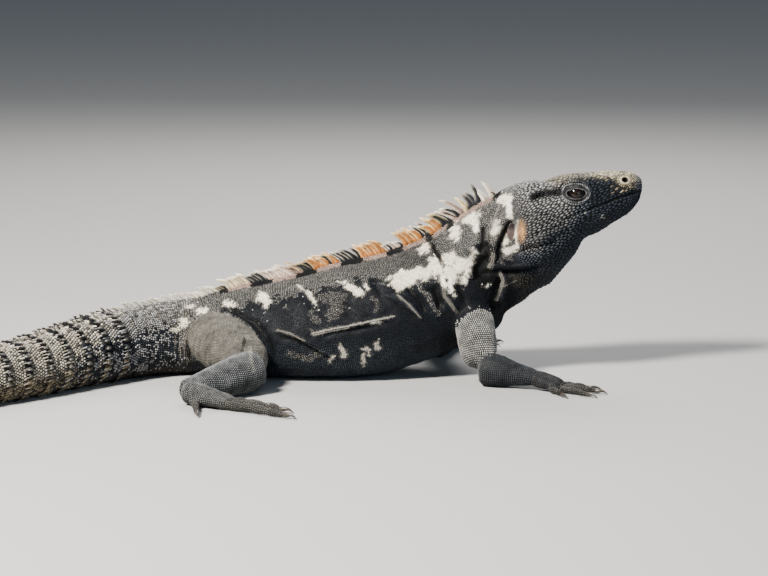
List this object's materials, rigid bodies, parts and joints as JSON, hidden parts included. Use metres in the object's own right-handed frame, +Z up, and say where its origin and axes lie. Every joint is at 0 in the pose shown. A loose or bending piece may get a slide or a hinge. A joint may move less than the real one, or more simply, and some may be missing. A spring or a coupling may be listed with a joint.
{
  "type": "spiny-tailed iguana",
  "caption": "Adult male western spiny-tailed iguana lying at rest with its head raised, as a still life-size museum model.",
  "frame": {"origin": "middle of the animal's bounding box on the plane it rests on", "axes": "+X towards the snout, +Z up, -Y the animal's right side"},
  "size_m": [0.7382, 0.3876, 0.1464],
  "materials": {
    "dark_scales": "matt small scales, charcoal with cream patches",
    "limb_scales": "matt small keeled scales, warm grey",
    "tail_scales": "rough spiny whorls, black and cream",
    "crest_spines": "horny, banded orange, cream and black",
    "ear_drum": "thin smooth skin",
    "eye": "wet gloss",
    "claw_horn": "satin horn"
  },
  "bodies": {
    "root": {"head": "dark_scales", "lower_jaw": "dark_scales", "neck": "dark_scales", "trunk": "dark_scales", "tail_1": "tail_scales", "tail_2": "tail_scales", "tail_3": "tail_scales", "tail_4": "tail_scales", "upper_arm_right": "limb_scales", "forearm_right": "limb_scales", "hand_right": "limb_scales", "thigh_right": "limb_scales", "shank_right": "limb_scales", "foot_right": "limb_scales", "ear_right": "ear_drum", "eye_right": "eye", "claw_hand_right_1": "claw_horn", "claw_hand_right_2": "claw_horn", "claw_hand_right_3": "claw_horn", "claw_hand_right_4": "claw_horn", "claw_hand_right_5": "claw_horn", "claw_foot_right_1": "claw_horn", "claw_foot_right_2": "claw_horn", "claw_foot_right_3": "claw_horn", "claw_foot_right_4": "claw_horn", "claw_foot_right_5": "claw_horn", "upper_arm_left": "limb_scales", "forearm_left": "limb_scales", "hand_left": "limb_scales", "thigh_left": "limb_scales", "shank_left": "limb_scales", "foot_left": "limb_scales", "ear_left": "ear_drum", "eye_left": "eye", "claw_hand_left_1": "claw_horn", "claw_hand_left_2": "claw_horn", "claw_hand_left_3": "claw_horn", "claw_hand_left_4": "claw_horn", "claw_hand_left_5": "claw_horn", "claw_foot_left_1": "claw_horn", "claw_foot_left_2": "claw_horn", "claw_foot_left_3": "claw_horn", "claw_foot_left_4": "claw_horn", "claw_foot_left_5": "claw_horn"}
  },
  "joints": []
}
